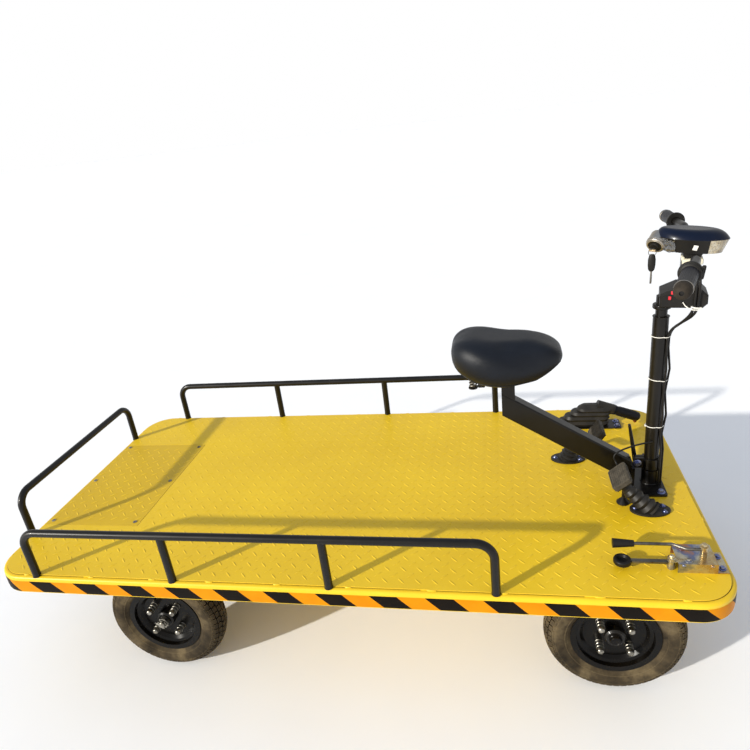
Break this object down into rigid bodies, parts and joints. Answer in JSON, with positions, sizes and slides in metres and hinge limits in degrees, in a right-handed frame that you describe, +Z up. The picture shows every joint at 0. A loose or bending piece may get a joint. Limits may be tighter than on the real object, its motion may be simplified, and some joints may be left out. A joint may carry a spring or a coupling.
{
  "type": "electric platform cart",
  "caption": "Ride-on flatbed cart with a checker-plate deck, tube rails, hazard-striped edge, saddle on a sloping arm and handlebar steering on a column.",
  "frame": {"origin": "on the ground, at the middle of the length and width", "axes": "+X forward, +Y to the driver's left, +Z up"},
  "size_m": [2.031, 0.98, 1.1701],
  "materials": {
    "yellow_paint": "gloss, over pressed checker plate",
    "black_paint": "gloss enamel",
    "zinc": "bright zinc plate",
    "yellow_zinc": "iridescent yellow zinc plate",
    "tyre_rubber": "dull, dusty",
    "black_rubber": "satin moulded rubber",
    "black_plastic": "fine textured",
    "gloss_cover": "high gloss",
    "lens": "clear, moulded",
    "chrome": "bright",
    "vinyl": "grained vinyl",
    "cast_metal": "as cast",
    "spring_steel": "satin black",
    "steel": "turned steel",
    "wire": "smooth sheath"
  },
  "bodies": {
    "chassis": {"edge_frame": "yellow_paint", "long_members": "yellow_paint", "cross_members": "yellow_paint", "deck_plate": "yellow_paint", "battery_hatch": "yellow_paint", "battery_case": "black_paint", "side_rail_right": "black_paint", "side_rail_left": "black_paint", "rear_rail": "black_paint", "column_tube": "black_paint", "column_clamp": "black_paint", "seat_arm": "black_paint", "seat_plate": "black_paint", "seat_cushion": "vinyl", "pedal_boots": "black_rubber", "pedal_rods": "black_paint", "pedal_pads": "black_rubber", "pedal_stop": "black_rubber", "brake_plate": "black_paint", "brake_boot": "black_rubber", "brake_lever": "black_plastic", "gear_bracket": "yellow_zinc", "gear_rods": "zinc", "gear_knobs": "black_plastic", "front_axle": "black_paint", "rear_axle": "black_paint", "drive_motor": "cast_metal", "leaf_springs": "spring_steel", "spring_hangers": "yellow_paint", "motor_controller": "cast_metal", "column_wires": "wire", "pedal_cable": "wire"},
    "steering": {"steering_shaft": "black_paint", "control_box": "black_plastic", "bar_clamp": "cast_metal", "handlebar": "black_paint", "grips": "black_rubber", "display_body": "black_plastic", "display_cover": "gloss_cover", "headlight_lens": "lens", "ignition_lock": "chrome", "ignition_key": "steel"},
    "knuckle_right": {"knuckle_right": "black_paint"},
    "knuckle_left": {"knuckle_left": "black_paint"},
    "tie_rod": {"tie_rod": "steel"},
    "drag_link": {"drag_link": "steel"},
    "wheel_front_right": {"tyre_front_right": "tyre_rubber", "rim_front_right": "black_paint", "hub_front_right": "zinc"},
    "wheel_front_left": {"tyre_front_left": "tyre_rubber", "rim_front_left": "black_paint", "hub_front_left": "zinc"},
    "wheel_rear_right": {"tyre_rear_right": "tyre_rubber", "rim_rear_right": "black_paint", "hub_rear_right": "zinc"},
    "wheel_rear_left": {"tyre_rear_left": "tyre_rubber", "rim_rear_left": "black_paint", "hub_rear_left": "zinc"}
  },
  "joints": [
    {"name": "steer", "type": "hinge", "parent": "chassis", "child": "steering", "pos_m": [0.8775, 0, 0.7], "axis": [0, 0, 1], "range_deg": [-35, 35]},
    {"name": "steer_right", "type": "hinge", "parent": "chassis", "child": "knuckle_right", "pos_m": [0.7285, -0.27, 0.181], "axis": [0, 0, 1], "range_deg": [-35, 35]},
    {"name": "steer_left", "type": "hinge", "parent": "chassis", "child": "knuckle_left", "pos_m": [0.7285, 0.27, 0.181], "axis": [0, 0, 1], "range_deg": [-35, 35]},
    {"name": "tie_rod_end", "type": "hinge", "parent": "knuckle_left", "child": "tie_rod", "pos_m": [0.8135, 0.27, 0.235], "axis": [0, 0, 1], "range_deg": [-35, 35]},
    {"name": "drag_link_end", "type": "hinge", "parent": "knuckle_right", "child": "drag_link", "pos_m": [0.8135, -0.27, 0.25], "axis": [0, 0, 1], "range_deg": [-35, 35]},
    {"name": "spin_front_right", "type": "hinge", "parent": "knuckle_right", "child": "wheel_front_right", "pos_m": [0.7285, -0.345, 0.181], "axis": [0, 1, 0], "continuous": true},
    {"name": "spin_front_left", "type": "hinge", "parent": "knuckle_left", "child": "wheel_front_left", "pos_m": [0.7285, 0.345, 0.181], "axis": [0, 1, 0], "continuous": true},
    {"name": "spin_rear_right", "type": "hinge", "parent": "chassis", "child": "wheel_rear_right", "pos_m": [-0.5625, -0.365, 0.181], "axis": [0, 1, 0], "continuous": true},
    {"name": "spin_rear_left", "type": "hinge", "parent": "chassis", "child": "wheel_rear_left", "pos_m": [-0.5625, 0.365, 0.181], "axis": [0, 1, 0], "continuous": true}
  ],
  "couplings": [
    {"joint": "steer_right", "follows": "steer", "ratio": 1},
    {"joint": "steer_left", "follows": "steer", "ratio": 1},
    {"joint": "tie_rod_end", "follows": "steer", "ratio": -1},
    {"joint": "drag_link_end", "follows": "steer", "ratio": -1}
  ]
}
